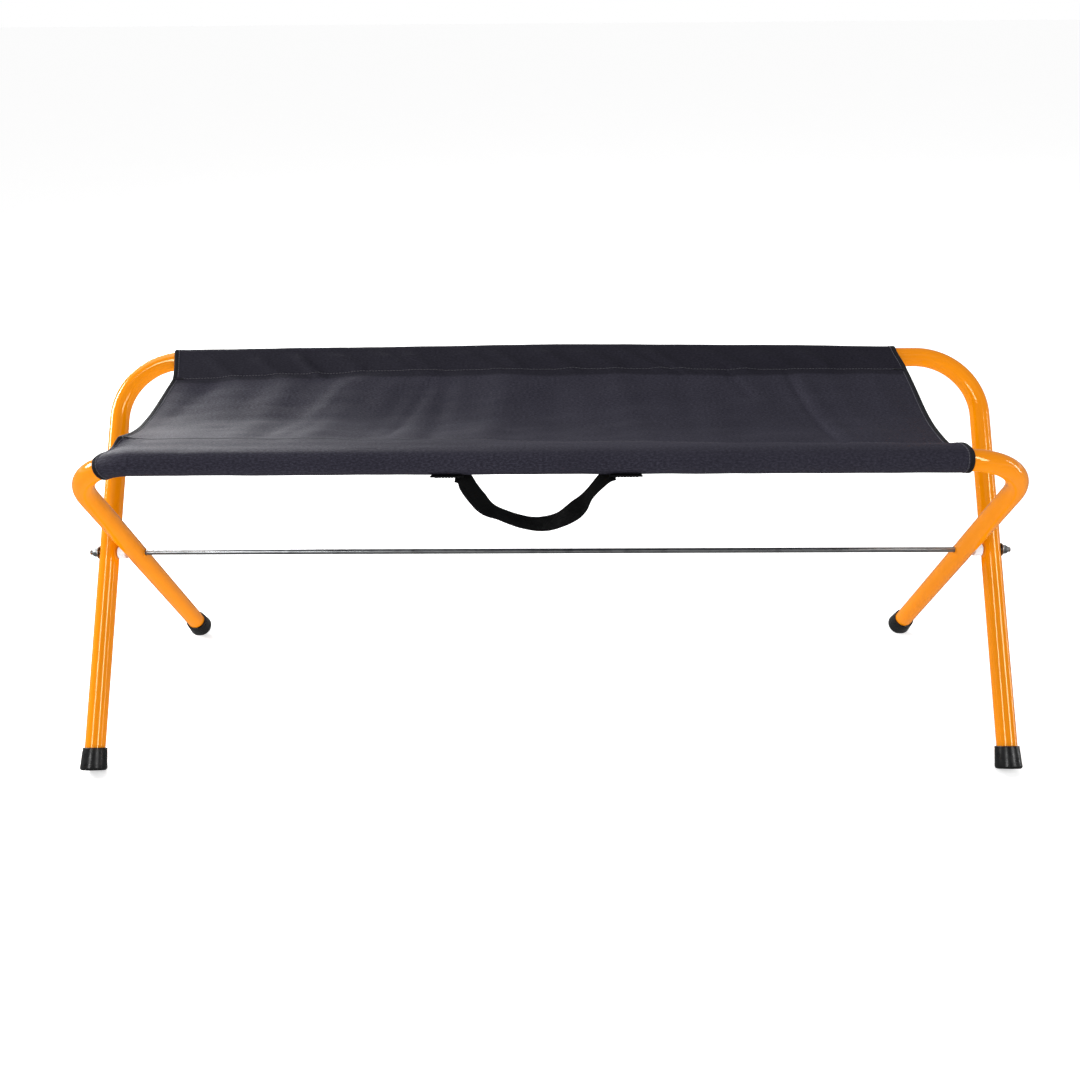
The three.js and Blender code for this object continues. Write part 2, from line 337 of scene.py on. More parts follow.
def dark_binding():
    shader = Shader("dark_binding", {"Specular IOR Level": 0.14, "Sheen Weight": 0.01})
    ribs = woven(shader, 0.5 * MM)
    shader.colour(shader.mix(ribs, (0.003, 0.0034, 0.0045, 1), (0.010, 0.0105, 0.013, 1)))
    shader.roughness(shader.spread(ribs, 0, 1, 0.75, 0.6))
    shader.bump(ribs, 0.00012, 0.8)
    return shader.material


def black_webbing():
    shader = Shader("black_webbing", {"Specular IOR Level": 0.10, "Sheen Weight": 0.005})
    ribs = woven(shader, 1.1 * MM)
    fuzz = shader.noise(1400, 3, shader.cloth_place(), 0.7)
    yarn = shader.mix(ribs, (0.0008, 0.0009, 0.001, 1), (0.0032, 0.0036, 0.004, 1))
    shader.colour(shader.mix(shader.spread(fuzz, 0.55, 0.8), yarn, (0.009, 0.0105, 0.011, 1)))
    shader.roughness(shader.spread(fuzz, 0.3, 0.7, 0.6, 0.8))
    shader.bump(ribs, 0.0003, 0.9)
    shader.bump(fuzz, 0.0001, 0.5)
    return shader.material


def thread(name, dark, light):
    shader = Shader(name, {"Specular IOR Level": 0.4, "Sheen Weight": 0.1})
    twist = shader.noise(2200, 2, shader.object_place((1, 0.4, 1)))
    shader.colour(shader.mix(twist, dark, light))
    shader.roughness(shader.spread(twist, 0.3, 0.7, 0.5, 0.7))
    shader.bump(twist, 0.00006, 0.6)
    return shader.material


# ---- Mesh helpers ----
def mesh_object(name, points, faces, material=None):
    mesh = bpy.data.meshes.new(name)
    mesh.from_pydata([tuple(p) for p in points], [], faces)
    mesh.update()
    piece = bpy.data.objects.new(name, mesh)
    bpy.context.scene.collection.objects.link(piece)
    if material:
        mesh.materials.append(material)
    mesh.shade_smooth()
    mesh.set_sharp_from_angle(angle=math.radians(38))
    return piece


def grid_faces(rows, columns, close_rows=False, close_columns=False, first=0):
    faces = []
    for r in range(rows if close_rows else rows - 1):
        for c in range(columns if close_columns else columns - 1):
            r2, c2 = (r + 1) % rows, (c + 1) % columns
            faces.append(tuple(first + i for i in (r * columns + c, r * columns + c2,
                                                   r2 * columns + c2, r2 * columns + c)))
    return faces


def tube_faces(rows, columns, first=0):
    """Faces of a tube through rows of points, closed at both ends."""
    last = first + (rows - 1) * columns
    return [*grid_faces(rows, columns, close_columns=True, first=first),
            tuple(reversed(range(first, first + columns))),
            tuple(range(last, last + columns))]


def lathe(name, profile, place, axis, material, segments=64, radius_at=None):
    """A closed profile of (distance along the axis, radius) turned about the axis."""
    turn = axis.to_track_quat("Z", "Y").to_matrix()
    points = []
    for along, radius in profile:
        for k in range(segments):
            angle = 2 * math.pi * k / segments
            r = min(radius, radius_at(angle)) if radius_at else radius
            points.append(place + turn @ Vector((r * math.cos(angle), r * math.sin(angle), along)))
    faces = grid_faces(len(profile), segments, close_rows=True, close_columns=True)
    return mesh_object(name, points, faces, material)


def catmull(points, steps):
    """Points on a smooth curve through the given ones, the given number of steps to a span."""
    p = np.array(points, float)
    p = np.vstack([2 * p[0] - p[1], p, 2 * p[-1] - p[-2]])
    out = []
    for i in range(1, len(p) - 2):
        for t in np.arange(steps) / steps:
            out.append(0.5 * (2 * p[i] + (p[i + 1] - p[i - 1]) * t
                              + (2 * p[i - 1] - 5 * p[i] + 4 * p[i + 1] - p[i + 2]) * t ** 2
                              + (3 * p[i] - p[i - 1] - 3 * p[i + 1] + p[i + 2]) * t ** 3))
    return np.array(out + [p[-2]])


def lengths_along(points):
    steps = np.linalg.norm(np.diff(points, axis=0), axis=1)
    return np.concatenate([[0], np.cumsum(steps)])


def resample(points, count):
    """The given number of points, evenly spaced along a line of points."""
    at = lengths_along(points)
    wanted = np.linspace(0, at[-1], count)
    return np.stack([np.interp(wanted, at, points[:, k]) for k in range(points.shape[1])], axis=1)


def along(x, knots):
    """A value that eases from knot to knot, each of them (x, value)."""
    xs, values = zip(*knots)
    i = int(np.clip(np.searchsorted(xs, x) - 1, 0, len(xs) - 2))
    t = float(np.clip((x - xs[i]) / (xs[i + 1] - xs[i]), 0, 1))
    return values[i] + (values[i + 1] - values[i]) * t * t * (3 - 2 * t)


# ---- Tube frames ----
class Frame:
    """One U-frame: half its width, its height above the pivot, and the side its rail leans to."""

    def __init__(self, half, rail, side):
        self.half = half
        self.side = side
        self.above = (rail - PIVOT).length
        self.up = Vector((0, side * math.sin(LEG_TILT), math.cos(LEG_TILT)))
        self.face = X_AXIS.cross(self.up)

    def at(self, x, height):
        return PIVOT + X_AXIS * x + self.up * height

    def rail_at(self, x):
        """The rail's axis at x, and the direction away from the bend's centre there."""
        turned = math.asin(max(0, abs(x) - (self.half - BEND_R)) / BEND_R)
        drop = BEND_R * (1 - math.cos(turned))
        outward = self.up * math.cos(turned) + X_AXIS * math.copysign(math.sin(turned), x)
        return self.at(x, self.above - drop), outward

    def centreline(self):
        """(x, height) stations: close together in the bends and round the pivot hole."""
        low = -(LEG_BELOW - CAP_FLOOR - 0.3 * MM)
        bend_height = self.above - BEND_R
        pressed, plain = 24 * MM, 60 * MM
        near_hole = np.linspace(-pressed, pressed, 25)
        leg = [low, low + 0.6 * MM, low / 2, -plain, *near_hole, plain, bend_height - 8 * MM]
        left = [(-self.half, h) for h in leg]
        inside = self.half - BEND_R
        for angle in np.linspace(math.pi, math.pi / 2, 27):
            left.append((-inside + BEND_R * math.cos(angle), bend_height + BEND_R * math.sin(angle)))
        middle = [(x, self.above) for x in np.linspace(-inside * 0.98, 0, 8)[:-1]]
        half_way = left + middle
        return half_way + [(0, self.above)] + [(-x, h) for x, h in reversed(half_way)]


def dimple(frame, x, height, outward_x):
    """How far the tube's wall is pressed in beside the rod's hole."""
    if abs(abs(x) - frame.half) > MM:
        return 0
    return DIMPLE * math.exp(-(height / (7 * MM)) ** 2) * abs(outward_x) ** 6


def frame_tube(name, frame, material):
    sides = 48
    line = np.array(frame.centreline())
    headings = np.gradient(line, axis=0)
    rings = []
    for (x, height), (dx, dh) in zip(line, headings):
        size = math.hypot(dx, dh)
        across = (X_AXIS * (-dh) + frame.up * dx) / size
        for k in range(sides):
            angle = 2 * math.pi * k / sides
            outward = across * math.cos(angle) + frame.face * math.sin(angle)
            rings.append((frame.at(x, height), outward, dimple(frame, x, height, outward.x)))
    outer = [centre + outward * (TUBE_R - pressed) for centre, outward, pressed in rings]
    inner = [centre + outward * (TUBE_R - TUBE_WALL - pressed) for centre, outward, pressed in rings]
    rows = len(line)
    count = rows * sides
    faces = grid_faces(rows, sides, close_columns=True)
    faces += [tuple(reversed(f)) for f in grid_faces(rows, sides, close_columns=True, first=count)]
    for start in (0, (rows - 1) * sides):
        for k in range(sides):
            k2 = (k + 1) % sides
            rim = (start + k, start + k2, count + start + k2, count + start + k)
            faces.append(rim if start else tuple(reversed(rim)))
    return mesh_object(name, outer + inner, faces, material)


def rounded(centre_along, centre_radius, radius, start, end, steps):
    """Profile points round a fillet, with angles measured from the axis' direction."""
    angles = np.radians(np.linspace(start, end, steps))
    return [(centre_along + radius * math.cos(a), centre_radius + radius * math.sin(a)) for a in angles]


def foot_cap(name, frame, x, material):
    """A moulded cup with a rolled rim, pressed flat by the floor."""
    fillet, centre = 3 * MM, 0.2 * MM
    profile = [(0, centre)]
    profile += rounded(fillet, CAP_END_R - fillet, fillet, 180, 90, 9)
    for at in (9 * MM, 15 * MM):
        profile.append((at, CAP_END_R + (CAP_TOP_R - CAP_END_R) * at / CAP_LENGTH))
    lip = 0.8 * MM
    profile += [(CAP_LENGTH - 4 * MM, CAP_TOP_R + 0.15 * MM), (CAP_LENGTH - 2.6 * MM, CAP_TOP_R - 0.1 * MM)]
    profile += rounded(CAP_LENGTH - lip, CAP_TOP_R - lip, lip, 75, 0, 6)
    bore = TUBE_R + 0.15 * MM
    profile += [(CAP_LENGTH, bore), (CAP_FLOOR, bore), (CAP_FLOOR, centre)]
    cap = lathe(name, profile, frame.at(x, -LEG_BELOW), frame.up, material, segments=96)
    for vertex in cap.data.vertices:
        vertex.co.z = max(vertex.co.z, 0)
    return cap


def add_frames(looks):
    for word, frame, caps in (("outer", OUTER, "front"), ("inner", INNER, "rear")):
        body = f"{word}_frame"
        tube = frame_tube(f"{word}_tube", frame, looks["orange"])
        finish(tube, body, "orange_powder_coat", f"{word}_frame_tube")
        for x, side in ((-frame.half, "left"), (frame.half, "right")):
            cap = foot_cap(f"cap_{caps}_{side}", frame, x, looks["rubber"])
            finish(cap, body, "black_rubber", f"foot_cap_{caps}_{side}")


def finish(piece, body, slot, *nodes):
    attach(piece, body)
    if nodes:
        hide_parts(*nodes)
    return piece


# ---- Pivot rod and its fittings ----
def pivot_rod(material):
    """A plain rod with a rolled thread at each end, a helix of 1 mm pitch."""
    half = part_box("pivot_rod")[1].x
    pitch, depth, threaded, chamfer = 1 * MM, 0.45 * MM, 14 * MM, 0.5 * MM
    ends = np.arange(half - threaded, half - 0.4 * MM, pitch / 6)
    stations = [*(-ends[::-1]), *np.linspace(-half + 2 * threaded, half - 2 * threaded, 12), *ends]
    segments = 32
    points = []
    for x in [-half, *stations, half]:
        for k in range(segments):
            phase = (x / pitch + k / segments) % 1
            groove = depth * (1 - abs(2 * phase - 1)) if abs(x) > half - threaded else 0
            r = ROD_R - groove - (chamfer if abs(x) == half else 0)
            angle = 2 * math.pi * k / segments
            points.append(PIVOT + Vector((x, r * math.cos(angle), r * math.sin(angle))))
    rows = len(points) // segments
    faces = grid_faces(rows, segments, close_columns=True)
    faces.append(tuple(range(segments)))
    faces.append(tuple(reversed(range((rows - 1) * segments, rows * segments))))
    return mesh_object("rod", points, faces, material)


def lock_nut(name, x_face, out, material):
    """A hexagon nut with chamfered corners and a rounded collar over its nylon ring."""
    flats = 10 * MM
    bore = 2.9 * MM
    corner = flats / math.sqrt(3)

    def hexagon(angle):
        return flats / 2 / math.cos((angle + math.pi / 6) % (math.pi / 3) - math.pi / 6)

    profile = [(0, bore), (0, 4.75 * MM), (0.55 * MM, corner), (3.5 * MM, corner), (4.05 * MM, 4.8 * MM)]
    profile += rounded(5.2 * MM, 3.7 * MM, 0.8 * MM, 90, 0, 6)
    profile += [(6.0 * MM, bore)]
    return lathe(name, profile, PIVOT + X_AXIS * x_face, out, material, 72, hexagon)


def washer(name, x_face, out, material):
    edge, bore, bevel, thick = 7.5 * MM, ROD_BORE, 0.25 * MM, 1.2 * MM
    profile = [(0, bore), (0, edge - bevel), (bevel, edge), (thick - bevel, edge), (thick, edge - bevel),
               (thick, bore + bevel), (thick - bevel, bore)]
    return lathe(name, profile, PIVOT + X_AXIS * x_face, out, material)


def spacer(name, x_face, out, length, material):
    edge, bore, bevel = 7.5 * MM, ROD_BORE, 0.6 * MM
    waist = edge - 0.25 * MM
    profile = [(0, bore), (0, edge - bevel), (bevel, edge), (2 * bevel, edge), (2.6 * bevel, waist),
               (length - 2.6 * bevel, waist), (length - 2 * bevel, edge), (length - bevel, edge),
               (length, edge - bevel), (length, bore)]
    return lathe(name, profile, PIVOT + X_AXIS * x_face, out, material)


def hole_rim(name, x_face, out, material):
    """The rolled lip of painted steel where the rod goes into the inner leg."""
    lip = 0.7 * MM
    profile = rounded(0.1 * MM, ROD_BORE + lip, lip, 0, 180, 7)
    profile += [(-DIMPLE, ROD_BORE), (-DIMPLE, ROD_BORE + 2 * lip)]
    return lathe(name, profile, PIVOT + X_AXIS * x_face, out, material)


def add_pivot(looks):
    finish(pivot_rod(looks["zinc"]), "outer_frame", "zinc_steel", "pivot_rod")
    for side, word in ((-1, "left"), (1, "right")):
        out = X_AXIS * side
        nearest = {node: min(abs(x) for x in (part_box(node)[0].x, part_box(node)[1].x))
                   for node in (f"spacer_{word}", f"washer_{word}", f"lock_nut_{word}")}
        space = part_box(f"spacer_{word}")
        piece = spacer(f"nylon_spacer_{word}", side * nearest[f"spacer_{word}"], out,
                       space[1].x - space[0].x, looks["nylon"])
        finish(piece, "outer_frame", "white_nylon", f"spacer_{word}")
        piece = washer(f"steel_washer_{word}", side * nearest[f"washer_{word}"], out, looks["zinc"])
        finish(piece, "outer_frame", "zinc_steel", f"washer_{word}")
        piece = lock_nut(f"nut_{word}", side * nearest[f"lock_nut_{word}"], out, looks["zinc"])
        finish(piece, "outer_frame", "zinc_steel", f"lock_nut_{word}")
        inner_face = side * (INNER_HALF - TUBE_R + DIMPLE)
        finish(hole_rim(f"hole_rim_{word}", inner_face, -out, looks["orange"]), "inner_frame",
               "orange_powder_coat")


# ---- Seat ----
CLOTH_T = 0.7 * MM
COLUMN_STEP = 3 * MM
SEAT_ROWS = {"rear": 40, "front": 31}  # from the crease to the seam
SLEEVE_ROWS = 50  # from the seam on top, round the rail, to the seam below
LAYER_GAP = 1.0 * MM  # between the two layers of a sleeve where they are sewn
REAR_SEAM_Y = 104.5 * MM
FRONT_SEAM_Y = -86 * MM


def rear_seam(x):
    height = along(x, [(-0.448, 0.3790), (-0.300, 0.3835), (-0.165, 0.3880), (0.0, 0.3890),
                       (0.260, 0.3875), (0.418, 0.3865)])
    return REAR_SEAM_Y, height


def front_seam(x):
    height = along(x, [(-0.448, 0.3775), (-0.140, 0.3760), (0.0, 0.3730), (0.300, 0.3700), (0.418, 0.3670)])
    return FRONT_SEAM_Y, height


def bowl(distance):
    """A valley with a rounded bottom, straight further out."""
    round_off = 45 * MM
    return math.hypot(distance, round_off) - round_off


def seat_height(x, y):
    """Height of the slack seat between its seams, with its lowest line at the crease."""
    (y_rear, z_rear), (y_front, z_front) = rear_seam(x), front_seam(x)
    d_rear, d_front = y_rear - CREASE.y, y_front - CREASE.y
    tilt_and_bowl = np.linalg.solve([[d_rear, bowl(d_rear)], [d_front, bowl(d_front)]],
                                    [z_rear - CREASE.z, z_front - CREASE.z])
    d = y - CREASE.y
    return CREASE.z + tilt_and_bowl[0] * d + tilt_and_bowl[1] * bowl(d)


def rear_sleeve(x):
    """Section of the rear sleeve as offsets from its rail, from the seam over the top to the seam below."""
    y, z = rear_seam(x)
    seam = (y - REAR_RAIL.y, z - REAR_RAIL.z)
    puff = along(x, [(-0.448, 0.0010), (-0.25, 0.0035), (0.03, 0.0062), (0.25, 0.0042), (0.418, 0.0010)])
    top = 0.0119 + puff
    slope = (top - 0.001 - seam[1]) / (-0.003 - seam[0])
    climb = [(at, seam[1] + slope * (at - seam[0])) for at in (-0.0300, -0.0190, -0.0090)]
    return [seam, *climb, (-0.0010, top), (0.0068, 0.0100 + 0.5 * puff), (0.0119, 0.0030),
            (0.0107, -0.0055), (0.0040, -0.0114), (-0.0050, -0.0112),
            (-0.0160, -0.0070 + 0.3 * seam[1]), (seam[0], seam[1] - LAYER_GAP)]


def front_sleeve(x):
    y, z = front_seam(x)
    rail = INNER.rail_at(x)[0]
    seam = (y - rail.y, z - rail.z)
    lift = seam[1] * 0.5
    return [seam, (0.0310, lift + 0.0062), (0.0180, 0.0104), (0.0050, 0.0120), (-0.0055, 0.0107),
            (-0.0113, 0.0042), (-0.0115, -0.0035), (-0.0068, -0.0100), (0.0010, -0.0121),
            (0.0090, -0.0094), (0.0200, -0.0060 + 0.3 * seam[1]), (seam[0], seam[1] - LAYER_GAP)]


def on_rail(frame, x, offset):
    """A sleeve point from its offset in (y, z), turned with the rail where it bends."""
    axis, outward = frame.rail_at(x)
    shift = Vector((0, *offset))
    return axis + outward * shift.dot(frame.up) + frame.face * shift.dot(frame.face)


def seat_column(word, x):
    """One column of the sheet: from the crease, over the seam and round the rail to the seam below."""
    frame, seam, sleeve, rail = ((OUTER, rear_seam, rear_sleeve, REAR_RAIL) if word == "rear"
                                 else (INNER, front_seam, front_sleeve, FRONT_RAIL))
    y_seam = seam(x)[0]
    section = catmull(sleeve(x), 8)
    ring = [on_rail(frame, x + end_shift(x, rail.y + offset[0]), offset) for offset in section]
    ring = resample(np.array(ring), SLEEVE_ROWS)
    edge_shift = ring[0][0] - x - end_shift(x, y_seam)
    shares = np.linspace(0, 1, SEAT_ROWS[word])[:-1]
    flat = []
    for t in shares:
        y = CREASE.y + (y_seam - CREASE.y) * t
        x_here = x + end_shift(x, y) + edge_shift * t
        flat.append((x_here, y, seat_height(x, y)))
    end_z = ring[0][2] - seat_height(x, y_seam)
    flat = np.array(flat)
    flat[:, 2] += end_z * shares ** 2
    return np.vstack([flat, ring])


def end_shift(x, y):
    """How far the seat's two ends are pulled along the rails, fading within a hand's width of each end."""
    at = (FRONT_RAIL.y, FRONT_SEAM_Y, REAR_SEAM_Y, REAR_RAIL.y)
    left = along(y, list(zip(at, (5 * MM, 8 * MM, 3 * MM, 0))))
    right = along(y, list(zip(at, (-6 * MM, -7 * MM, 2 * MM, -3 * MM))))
    fade = 45 * MM
    return left * math.exp((SEAT_LEFT - x) / fade) + right * math.exp((x - SEAT_RIGHT) / fade)


def seat_grid(word):
    """Sheet points as an array of columns by rows, before folds."""
    columns = round((SEAT_RIGHT - SEAT_LEFT) / COLUMN_STEP) + 1
    xs = np.linspace(SEAT_LEFT, SEAT_RIGHT, columns)
    return xs, np.array([seat_column(word, x) for x in xs])


def sheet_normals(word, grid):
    """Directions out of the cloth's upper side, one for each of its points."""
    normal = np.cross(np.gradient(grid, axis=0), np.gradient(grid, axis=1))
    normal /= np.linalg.norm(normal, axis=2, keepdims=True)
    return -normal if word == "front" else normal


# ---- Folds in the cloth ----
def fold_line(x, y, start, end, width, height):
    """A ridge (or, with a negative height, a crease) along a line, fading at its two ends."""
    (x0, y0), (x1, y1) = start, end
    length = math.hypot(x1 - x0, y1 - y0)
    ux, uy = (x1 - x0) / length, (y1 - y0) / length
    t = (x - x0) * ux + (y - y0) * uy
    d = (x - x0) * uy - (y - y0) * ux
    fade = np.clip(t / (0.25 * length), 0, 1) * np.clip((length - t) / (0.25 * length), 0, 1)
    return height * np.exp(-(d / width) ** 2) * fade * fade * (3 - 2 * fade)


def rear_streaks():
    """Short streaks pulled off the rear rail, at seeded places."""
    streaks = []
    x = SEAT_LEFT + 0.02
    while x < SEAT_RIGHT - 0.05:
        run = random.uniform(0.060, 0.100)
        reach = random.uniform(0.085, 0.112)
        streaks.append(((x, 0.152), (x + run, reach), random.uniform(4, 8) * MM,
                        random.uniform(1.6, 3.0) * MM))
        x += random.uniform(0.035, 0.075)
    return streaks


def broad_waves():
    """Soft ridges and valleys from rail to rail, spreading a little towards the front."""
    waves = []
    x = SEAT_LEFT + 0.03
    while x < SEAT_RIGHT - 0.02:
        drift = random.uniform(-0.030, 0.030) + 0.04 * x
        size = random.choice((-1, 1)) * random.uniform(1.2, 2.8) * MM
        waves.append(((x - drift, 0.125), (x + drift, -0.11), random.uniform(12, 26) * MM, size))
        x += random.uniform(0.045, 0.085)
    return waves


def single_folds():
    """The sharp crease right of the middle with the ridge beside it, and three softer folds."""
    return [((0.275, 0.125), (0.302, -0.105), 4.5 * MM, -2.0 * MM),
            ((0.288, 0.120), (0.316, -0.100), 11 * MM, 2.4 * MM),
            ((0.205, 0.115), (0.235, 0.030), 7 * MM, -1.5 * MM),
            ((-0.225, 0.115), (-0.290, -0.100), 11 * MM, 1.4 * MM),
            ((-0.130, 0.110), (-0.175, -0.090), 9 * MM, -1.4 * MM)]


def crumple(x, s, size, stretch):
    """Smooth seeded noise over the cloth, from about -1 to 1."""
    return noise.noise(Vector((x / size / stretch, s / size, 3.7)))


def fold_push(word, grid):
    """How far the folds lift each point of the sheet, fading out over the top of the sleeve."""
    top = SEAT_ROWS[word] - 1 + SLEEVE_ROWS // 3
    fading = 6
    push = np.zeros(grid.shape[:2])
    for start, end, width, height in FOLDS:
        push[:, :top] += fold_line(grid[:, :top, 0], grid[:, :top, 1], start, end, width, height)
    push[:, top - fading:top] *= np.linspace(1, 0, fading)
    return push


def dents(x, side, down, from_seam):
    """Small dents all over the cloth, and broad ones that are shallower on the sleeve."""
    free = 1 / (1 + np.exp((from_seam + 2 * MM) / (4 * MM)))
    small = np.array([crumple(x, side * s, 9 * MM, 3) for s in down])
    broad = np.array([crumple(x, side * s + 1, 26 * MM, 1.6) for s in down])
    return 0.25 * MM * small + (0.25 + 0.75 * free) * MM * broad


def pucker(x, from_seam):
    """The ripple of gathered cloth along a seam."""
    wave = math.sin(2 * math.pi * x / (8.5 * MM) + 3 * crumple(x, 0, 30 * MM, 1))
    return 0.28 * MM * wave * np.exp(-(from_seam / (6 * MM)) ** 2)


def calm(from_end, from_crease):
    """How much of the folds is left: less at the bound ends, and at the crease between the halves."""
    ends = 1 - 0.9 * math.exp(-(from_end / (25 * MM)) ** 2)
    return ends * (1 - 0.4 * np.exp(-(from_crease / (12 * MM)) ** 2))


def felled_seam(from_seam):
    """The folded edge that is sewn down on top of the front seam, as a low step."""
    rise = 1 / (1 + np.exp(-(from_seam + 1.0 * MM) / (0.5 * MM)))
    fall = 1 / (1 + np.exp((from_seam - 7 * MM) / (1.5 * MM)))
    return 0.8 * MM * rise * fall


def fold_sheet(word, xs, grid):
    """Pushes the sheet's points along its normals: folds, dents, pucker and the felled seam."""
    side = 1 if word == "rear" else -1
    push = fold_push(word, grid)
    for c, x in enumerate(xs):
        down = lengths_along(grid[c])
        from_seam = down - down[SEAT_ROWS[word] - 1]
        push[c] += dents(x, side, down, from_seam)
        push[c] *= calm(min(x - xs[0], xs[-1] - x), down)
        push[c] += pucker(x, from_seam)
        if word == "front":
            push[c] += felled_seam(from_seam)
    return grid + sheet_normals(word, grid) * push[:, :, None]


# ---- Sheets, bands and threads ----
def add_cloth_uv(mesh, coordinates):
    """A UV map in metres, so that the weave has its real size."""
    layer = mesh.uv_layers.new(name="cloth")
    index = np.zeros(len(mesh.loops), int)
    mesh.loops.foreach_get("vertex_index", index)
    layer.data.foreach_set("uv", np.array(coordinates, np.float32)[index].ravel())


def sheet_mesh(name, grid, material, flip):
    columns, rows = grid.shape[:2]
    faces = grid_faces(columns, rows)
    if flip:
        faces = [tuple(reversed(f)) for f in faces]
    sheet = mesh_object(name, grid.reshape(-1, 3), faces, material)
    down = np.array([lengths_along(column) for column in grid]) * (-1 if flip else 1)
    across = np.repeat(grid[:, rows // 3, 0][:, None], rows, axis=1)
    add_cloth_uv(sheet.data, np.stack([across, down], axis=2).reshape(-1, 2))
    sharpen_border(sheet.data)
    thick = sheet.modifiers.new("thickness", "SOLIDIFY")
    thick.thickness = CLOTH_T
    thick.offset = 0
    return sheet


def sharpen_border(mesh):
    """Marks the sheet's open edges sharp, so that its cut edges don't tint the shading next to them."""
    shell = bmesh.new()
    shell.from_mesh(mesh)
    for edge in shell.edges:
        edge.smooth = not edge.is_boundary
    shell.to_mesh(mesh)
    shell.free()


def strip(name, points, inward, normals, profile, material):
    """A narrow closed band: a profile of (inward, up) swept along points."""
    rows = []
    for p, i, n in zip(points, inward, normals):
        rows += [p + i * a + n * b for a, b in profile]
    count = len(profile)
    side_width = 1.5 * MM
    band = mesh_object(name, rows, tube_faces(len(points), count), material)
    at = lengths_along(np.array(points))
    add_cloth_uv(band.data, [(a, k * side_width) for a in at for k in range(count)])
    return band


# Stations along one stitch: share of the pitch, then lift and size in thread radii
STITCH = ((0, -0.3, 0.6), (0.15, 0.5, 1), (0.45, 0.9, 1), (0.7, 0.5, 1), (0.82, -0.3, 0.6))
STITCH_R = 0.32 * MM
TACK_R = 0.38 * MM


def point_at(distance, at, points):
    return np.array([np.interp(distance, at, points[:, k]) for k in range(3)])


def thread_run(name, points, normals, pitch, material):
    """Sewing stitches along a line of points: short threads that dip into the cloth at their ends."""
    at = lengths_along(points)
    corners, faces = [], []
    sides = 5
    for start in np.arange(0.3 * pitch, at[-1] - pitch, pitch):
        first = len(corners)
        for t, lift, size in STITCH:
            p = point_at(start + t * pitch, at, points)
            n = point_at(start + t * pitch, at, normals)
            side = np.cross(point_at(start + t * pitch + 0.4 * MM, at, points) - p, n)
            side /= np.linalg.norm(side) + 1e-12
            for k in range(sides):
                angle = 2 * math.pi * k / sides
                out = n * (lift + size * math.sin(angle)) + side * size * math.cos(angle)
                corners.append(p + out * STITCH_R)
        faces += tube_faces(len(STITCH), sides, first)
    return mesh_object(name, corners, faces, material)


def hang(piece):
    """Bakes a seat piece's place into its mesh."""
    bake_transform(piece)
    return piece


def end_pieces(word, grid, normals, looks):
    """Bound edge and its stitches at both ends of one half of the seat."""
    binding = [(3.6, 0.50), (3.3, 0.72), (0.9, 0.85), (0.0, 0.68), (-0.5, 0.2), (-0.5, -0.2),
               (0.0, -0.52), (0.9, -0.6), (3.3, -0.52), (3.6, -0.38)]
    profile = [(a * MM, b * MM) for a, b in binding]
    stitches_in, stitches_up, pitch = 5.4 * MM, 0.4 * MM, 3.2 * MM
    made = []
    for end, column, inner in (("left", 0, 1), ("right", -1, -2)):
        edge = grid[column]
        inward = grid[inner] - edge
        inward /= np.linalg.norm(inward, axis=1, keepdims=True)
        n = normals[column]
        band = strip(f"hem_{word}_{end}", edge, inward, n, profile, looks["binding"])
        if (word == "front") == (end == "left"):
            band.data.flip_normals()
        made.append(hang(band))
        line = edge + inward * stitches_in + n * stitches_up
        run = thread_run(f"hem_stitches_{word}_{end}", line, n, pitch, looks["thread"])
        made.append(hang(run))
    return made


def seam_pieces(word, grid, normals, looks):
    """Stitches along the seam on top and below, and the bar tacks at its ends."""
    seam_row = SEAT_ROWS[word] - 1
    stitches_up, pitch = 0.38 * MM, 3.6 * MM
    made = []
    for place, row in (("top", seam_row), ("under", grid.shape[1] - 1)):
        ups = normals[2:-2, row]
        line = grid[2:-2, row] + ups * stitches_up
        run = thread_run(f"seam_stitches_{word}_{place}", line, ups, pitch, looks["thread"])
        made.append(hang(run))
    for end, columns in (("left", slice(1, 6)), ("right", slice(-6, -1))):
        lift = normals[columns, seam_row][0] * 0.75 * MM
        swing = np.array([0, 1.1 * MM, 0])
        spots = resample(grid[columns, seam_row], 26)
        zigzag = [spot + lift + (-1) ** k * swing for k, spot in enumerate(spots)]
        tack = thread_tube(f"bar_tack_{word}_{end}", np.array(zigzag), TACK_R, looks["black_thread"])
        made.append(hang(tack))
    return made


def thread_tube(name, points, radius, material):
    """One thread through a line of points."""
    sides = 6
    corners = []
    for p, h in zip(points, np.gradient(points, axis=0)):
        h = Vector(h).normalized()
        side = h.cross(Z_AXIS if abs(h.z) < 0.9 else X_AXIS).normalized()
        up = side.cross(h)
        for k in range(sides):
            angle = 2 * math.pi * k / sides
            corners.append(Vector(p) + side * radius * math.cos(angle) + up * radius * math.sin(angle))
    return mesh_object(name, corners, tube_faces(len(points), sides), material)


def add_seat(looks):
    for word, nodes in (("rear", ("seat_sleeve_rear", "seat_panel_rear")),
                        ("front", ("seat_sleeve_front", "seat_panel_front"))):
        xs, plain = seat_grid(word)
        grid = fold_sheet(word, xs, plain)
        normals = sheet_normals(word, grid)
        sheet = sheet_mesh(f"seat_cloth_{word}", grid, looks["fabric"], flip=word == "front")
        hang(sheet)
        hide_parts(*nodes)
        trim = end_pieces(word, grid, normals, looks) + seam_pieces(word, grid, normals, looks)


